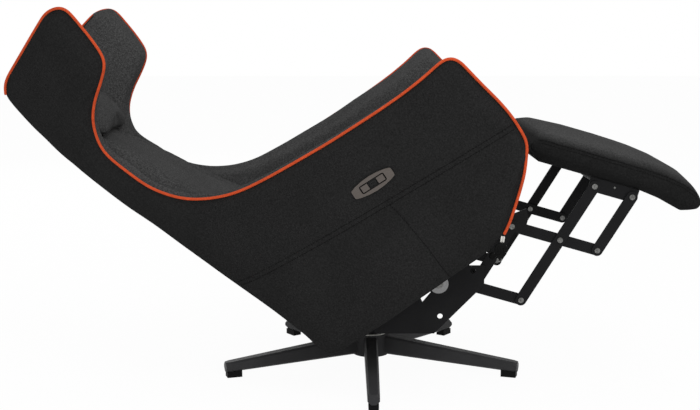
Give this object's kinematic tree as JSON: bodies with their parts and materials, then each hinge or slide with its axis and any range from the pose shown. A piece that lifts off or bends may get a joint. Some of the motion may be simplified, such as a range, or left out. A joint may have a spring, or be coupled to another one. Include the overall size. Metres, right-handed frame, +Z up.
{
  "type": "gaming recliner",
  "caption": "Swivelling power recliner with winged, piped side shells, seat and back cushions, head pillow, folding leg rest on a bar linkage and a five-leg star base.",
  "frame": {"origin": "on the floor, under the axis of the swivel post", "axes": "+Z up along the swivel axis, +X towards the leg rest, +Y to the left-hand side of a sitter, drawn leaned back with the leg rest out"},
  "size_m": [1.5184, 0.809, 0.8329],
  "materials": {
    "leg_paint": "satin black",
    "steel_black": "fine-textured black powder coat",
    "steel_bright": "bright zinc",
    "zinc_ring": "dull cast zinc",
    "glide_plastic": "matt",
    "washer_plastic": "natural",
    "outer_fabric": "fine black grained upholstery fabric",
    "inner_fabric": "charcoal heather upholstery fabric",
    "piping_fabric": "orange piping",
    "webbing": "woven",
    "board_wood": "plain birch plywood",
    "pad_board": "black lining over board",
    "motor_plastic": "fine texture",
    "switch_metal": "brushed nickel",
    "switch_black": "black"
  },
  "bodies": {
    "base": {"star_base": "leg_paint", "foot_glides": "glide_plastic", "swivel_post": "steel_bright", "thrust_washer": "washer_plastic"},
    "chassis": {"swivel_plate": "steel_black", "cross_tubes": "steel_black", "left_side_plate": "steel_black", "right_side_plate": "steel_black", "tilt_bolts": "steel_bright", "tilt_rings": "zinc_ring"},
    "shell": {"left_seat_plate": "steel_black", "right_seat_plate": "steel_black", "tilt_bushes": "zinc_ring", "link_studs": "steel_bright", "seat_frame": "steel_black", "seat_beams": "board_wood", "seat_webbing": "webbing", "back_board": "board_wood", "left_side_panel": "outer_fabric", "right_side_panel": "outer_fabric", "left_piping": "piping_fabric", "right_piping": "piping_fabric", "piping_clips": "glide_plastic", "seat_cushion": "inner_fabric", "back_cushion": "inner_fabric", "rear_cover": "outer_fabric", "switch_housing": "switch_black", "switch_plate": "switch_metal", "usb_socket": "switch_black", "recline_motor_tube": "steel_black", "leg_rest_motor_tube": "steel_black"},
    "pillow": {"head_pillow": "inner_fabric"},
    "button_recline": {"recline_button": "switch_metal"},
    "button_leg_rest": {"leg_rest_button": "switch_metal"},
    "recline_drive": {"recline_motor": "motor_plastic"},
    "recline_push": {"recline_rod": "steel_bright"},
    "leg_rest_drive": {"leg_rest_motor": "motor_plastic"},
    "leg_rest_push": {"leg_rest_rod": "steel_bright"},
    "rear_links": {"left_rear_link": "steel_black", "right_rear_link": "steel_black", "push_shaft": "steel_bright", "rear_link_rivets": "steel_bright"},
    "cross_links": {"left_cross_link": "steel_black", "right_cross_link": "steel_black", "cross_link_rivets": "steel_bright"},
    "long_links": {"left_long_link": "steel_black", "right_long_link": "steel_black", "long_link_rivets": "steel_bright"},
    "front_links": {"left_front_link": "steel_black", "right_front_link": "steel_black", "front_link_rivets": "steel_bright"},
    "crank_links": {"left_crank_link": "steel_black", "right_crank_link": "steel_black", "crank_link_rivets": "steel_bright"},
    "leg_rest": {"left_pad_bracket": "steel_black", "right_pad_bracket": "steel_black", "pad_crossbar": "steel_black", "pad_board": "pad_board", "leg_rest_pad": "inner_fabric"}
  },
  "joints": [
    {"name": "swivel", "type": "hinge", "parent": "base", "child": "chassis", "pos_m": [0, 0, 0.1], "axis": [0, 0, 1], "continuous": true},
    {"name": "recline", "type": "hinge", "parent": "chassis", "child": "shell", "pos_m": [0.141, 0, 0.245], "axis": [0, 1, 0], "range_deg": [0, 34]},
    {"name": "leg_rest_fold", "type": "hinge", "parent": "shell", "child": "rear_links", "pos_m": [0.21677, 0, 0.23459], "axis": [0, -1, 0], "range_deg": [0, 37.5]},
    {"name": "cross_link_turn", "type": "hinge", "parent": "rear_links", "child": "cross_links", "pos_m": [0.29776, 0, 0.36675], "axis": [0, -1, 0], "range_deg": [-77.65, 0]},
    {"name": "long_link_turn", "type": "hinge", "parent": "cross_links", "child": "long_links", "pos_m": [0.40163, 0, 0.33716], "axis": [0, -1, 0], "range_deg": [0, 77.65]},
    {"name": "front_link_turn", "type": "hinge", "parent": "cross_links", "child": "front_links", "pos_m": [0.48242, 0, 0.31415], "axis": [0, -1, 0], "range_deg": [0, 77.65]},
    {"name": "leg_rest_turn", "type": "hinge", "parent": "long_links", "child": "leg_rest", "pos_m": [0.47269, 0, 0.45312], "axis": [0, -1, 0], "range_deg": [-77.65, 0]},
    {"name": "crank_link_turn", "type": "hinge", "parent": "shell", "child": "crank_links", "pos_m": [0.21677, 0, 0.23459], "axis": [0, -1, 0], "range_deg": [-40.15, 0]},
    {"name": "leg_rest_drive_turn", "type": "hinge", "parent": "shell", "child": "leg_rest_drive", "pos_m": [0.0579, 0, 0.22514], "axis": [0, -1, 0], "range_deg": [0, 9.49]},
    {"name": "leg_rest_drive_stroke", "type": "slide", "parent": "leg_rest_drive", "child": "leg_rest_push", "axis": [0.9326, 0, 0.3609], "range_m": [-0.04051, 0]},
    {"name": "recline_drive_turn", "type": "hinge", "parent": "shell", "child": "recline_drive", "pos_m": [-0.04477, 0, 0.23429], "axis": [0, -1, 0], "range_deg": [-0.05, 1.6]},
    {"name": "recline_drive_stroke", "type": "slide", "parent": "recline_drive", "child": "recline_push", "axis": [0.932, 0, -0.3624], "range_m": [0, 0.04588]},
    {"name": "recline_press", "type": "slide", "parent": "shell", "child": "button_recline", "axis": [0.1471, 0.9841, 0.0992], "range_m": [0, 0.0015], "stiffness_N_per_m": 1500, "springref_m": -0.0005},
    {"name": "leg_rest_press", "type": "slide", "parent": "shell", "child": "button_leg_rest", "axis": [0.1471, 0.9841, 0.0992], "range_m": [0, 0.0015], "stiffness_N_per_m": 1500, "springref_m": -0.0005},
    {"name": "pillow_height", "type": "slide", "parent": "shell", "child": "pillow", "axis": [-0.7313, 0, 0.682], "range_m": [-0.03, 0.05]}
  ],
  "couplings": [
    {"joint": "cross_link_turn", "follows": "leg_rest_fold", "ratio": -2.0693},
    {"joint": "long_link_turn", "follows": "leg_rest_fold", "ratio": 2.0693},
    {"joint": "front_link_turn", "follows": "leg_rest_fold", "ratio": 2.0693},
    {"joint": "leg_rest_turn", "follows": "leg_rest_fold", "ratio": -2.0693},
    {"joint": "crank_link_turn", "follows": "leg_rest_fold", "ratio": -1.0693},
    {"joint": "leg_rest_drive_turn", "follows": "leg_rest_fold", "ratio": 0.25183},
    {"joint": "leg_rest_drive_stroke", "follows": "leg_rest_fold", "m_per_rad": -0.061595},
    {"joint": "recline_drive_turn", "follows": "recline", "ratio": 0.045481},
    {"joint": "recline_drive_stroke", "follows": "recline", "m_per_rad": 0.076984}
  ]
}
